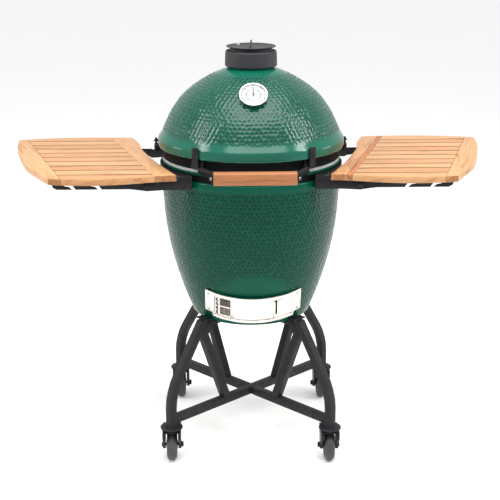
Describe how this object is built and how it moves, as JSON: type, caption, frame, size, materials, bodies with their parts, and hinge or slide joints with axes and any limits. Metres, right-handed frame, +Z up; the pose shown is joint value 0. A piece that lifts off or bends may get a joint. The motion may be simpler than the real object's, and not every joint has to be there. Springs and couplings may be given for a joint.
{
  "type": "kamado grill",
  "caption": "Egg-shaped ceramic charcoal grill with a hinged dome, vent cap, sliding draft door and folding wooden side shelves on a castered steel stand.",
  "frame": {"origin": "on the floor, under the egg's vertical axis", "axes": "+X to the right as seen from the front, +Y to the back, +Z up; the draft door and the handle face -Y"},
  "size_m": [1.453, 0.69, 1.22],
  "materials": {
    "glaze": "dimpled glossy glaze",
    "fire_clay": "rough unglazed",
    "cast_iron": "as cast",
    "grid_steel": "satin",
    "felt": "matte felt",
    "bracket_black": "satin black",
    "pin_steel": "satin",
    "spring_steel": "oiled dark wire",
    "handle_wood": "oiled",
    "cast_cap": "textured powder coat",
    "bezel": "polished",
    "dial_white": "matte print",
    "pointer_black": "satin",
    "gauge_glass": "clear",
    "stainless": "bright brushed",
    "shelf_wood": "oiled hardwood",
    "powder_coat": "textured powder coat",
    "rubber": "matte"
  },
  "bodies": {
    "stand": {"base_shell": "glaze", "base_floor": "glaze", "base_gasket": "felt", "base_band": "bracket_black", "firebox": "fire_clay", "fire_ring": "fire_clay", "fire_grate": "cast_iron", "hinge_lower_bracket": "bracket_black", "hinge_pin": "pin_steel", "hinge_spring_left": "spring_steel", "hinge_spring_right": "spring_steel", "draft_frame": "stainless", "shelf_bracket_left": "bracket_black", "shelf_bracket_right": "bracket_black", "rail_long": "powder_coat", "rail_half_left": "powder_coat", "rail_half_right": "powder_coat", "leg_front_left": "powder_coat", "leg_front_right": "powder_coat", "leg_rear_left": "powder_coat", "leg_rear_right": "powder_coat", "strut_front_left": "powder_coat", "strut_front_right": "powder_coat", "strut_rear_left": "powder_coat", "strut_rear_right": "powder_coat"},
    "lid": {"dome_shell": "glaze", "dome_gasket": "felt", "dome_band": "bracket_black", "hinge_upper_bracket": "bracket_black", "handle_grip": "handle_wood", "handle_rod": "pin_steel", "handle_arm_left": "bracket_black", "handle_arm_right": "bracket_black", "thermometer_case": "bezel", "thermometer_dial": "dial_white", "thermometer_lens": "gauge_glass"},
    "pointer": {"thermometer_pointer": "pointer_black"},
    "cap": {"cap_body": "cast_cap", "vent_pivot": "pin_steel"},
    "vent": {"vent_disc": "cast_cap"},
    "grid": {"cooking_grid": "grid_steel"},
    "draft_screen": {"draft_screen": "stainless"},
    "draft_door": {"draft_door": "stainless"},
    "shelf_left": {"shelf_board_left": "shelf_wood", "shelf_arm_front_left": "bracket_black", "shelf_arm_rear_left": "bracket_black"},
    "shelf_right": {"shelf_board_right": "shelf_wood", "shelf_arm_front_right": "bracket_black", "shelf_arm_rear_right": "bracket_black"},
    "fork_front_left": {"caster_fork_front_left": "bracket_black"},
    "wheel_front_left": {"caster_wheel_front_left": "rubber"},
    "fork_front_right": {"caster_fork_front_right": "bracket_black"},
    "wheel_front_right": {"caster_wheel_front_right": "rubber"},
    "fork_rear_left": {"caster_fork_rear_left": "bracket_black"},
    "wheel_rear_left": {"caster_wheel_rear_left": "rubber"},
    "fork_rear_right": {"caster_fork_rear_right": "bracket_black"},
    "wheel_rear_right": {"caster_wheel_rear_right": "rubber"},
    "brake_left": {"brake_lever_front_left": "bracket_black"},
    "brake_right": {"brake_lever_front_right": "bracket_black"}
  },
  "joints": [
    {"name": "lid_hinge", "type": "hinge", "parent": "stand", "child": "lid", "pos_m": [0, 0.33, 0.868], "axis": [-1, 0, 0], "range_deg": [0, 70]},
    {"name": "cap_lift", "type": "slide", "parent": "lid", "child": "cap", "axis": [0, 0, 1], "range_m": [0, 0.05]},
    {"name": "vent_swivel", "type": "hinge", "parent": "cap", "child": "vent", "pos_m": [-0.036, 0.036, 1.1985], "axis": [0, 0, 1], "range_deg": [0, 100]},
    {"name": "temperature_pointer", "type": "hinge", "parent": "lid", "child": "pointer", "pos_m": [0, -0.1788, 1.0817], "axis": [0, -0.6561, 0.7547], "range_deg": [-120, 120]},
    {"name": "grid_lift", "type": "slide", "parent": "stand", "child": "grid", "axis": [0, 0, 1], "range_m": [0, 0.045]},
    {"name": "draft_screen_slide", "type": "hinge", "parent": "stand", "child": "draft_screen", "pos_m": [0, -0.01489, 0.52992], "axis": [0, -0.309, 0.9511], "range_deg": [0, 24]},
    {"name": "draft_door_slide", "type": "hinge", "parent": "stand", "child": "draft_door", "pos_m": [0, -0.01489, 0.52992], "axis": [0, -0.309, 0.9511], "range_deg": [-14, 15]},
    {"name": "shelf_fold_left", "type": "hinge", "parent": "stand", "child": "shelf_left", "pos_m": [-0.3, 0, 0.8405], "axis": [0, -1, 0], "range_deg": [0, 90]},
    {"name": "shelf_fold_right", "type": "hinge", "parent": "stand", "child": "shelf_right", "pos_m": [0.3, 0, 0.8405], "axis": [0, 1, 0], "range_deg": [0, 90]},
    {"name": "swivel_front_left", "type": "hinge", "parent": "stand", "child": "fork_front_left", "pos_m": [-0.24286, -0.2249, 0], "axis": [0, 0, 1], "continuous": true},
    {"name": "roll_front_left", "type": "hinge", "parent": "fork_front_left", "child": "wheel_front_left", "pos_m": [-0.24286, -0.21089, 0.048], "axis": [1, 0, 0], "continuous": true},
    {"name": "swivel_front_right", "type": "hinge", "parent": "stand", "child": "fork_front_right", "pos_m": [0.2249, -0.24286, 0], "axis": [0, 0, 1], "continuous": true},
    {"name": "roll_front_right", "type": "hinge", "parent": "fork_front_right", "child": "wheel_front_right", "pos_m": [0.2249, -0.22887, 0.048], "axis": [1, 0, 0], "continuous": true},
    {"name": "swivel_rear_left", "type": "hinge", "parent": "stand", "child": "fork_rear_left", "pos_m": [-0.2249, 0.24286, 0], "axis": [0, 0, 1], "continuous": true},
    {"name": "roll_rear_left", "type": "hinge", "parent": "fork_rear_left", "child": "wheel_rear_left", "pos_m": [-0.2249, 0.25687, 0.048], "axis": [1, 0, 0], "continuous": true},
    {"name": "swivel_rear_right", "type": "hinge", "parent": "stand", "child": "fork_rear_right", "pos_m": [0.24286, 0.2249, 0], "axis": [0, 0, 1], "continuous": true},
    {"name": "roll_rear_right", "type": "hinge", "parent": "fork_rear_right", "child": "wheel_rear_right", "pos_m": [0.24286, 0.23889, 0.048], "axis": [1, 0, 0], "continuous": true},
    {"name": "brake_press_left", "type": "hinge", "parent": "fork_front_left", "child": "brake_left", "pos_m": [-0.24286, -0.17839, 0.0955], "axis": [-1, 0, 0], "range_deg": [0, 12]},
    {"name": "brake_press_right", "type": "hinge", "parent": "fork_front_right", "child": "brake_right", "pos_m": [0.2249, -0.19637, 0.0955], "axis": [-1, 0, 0], "range_deg": [0, 12]}
  ]
}
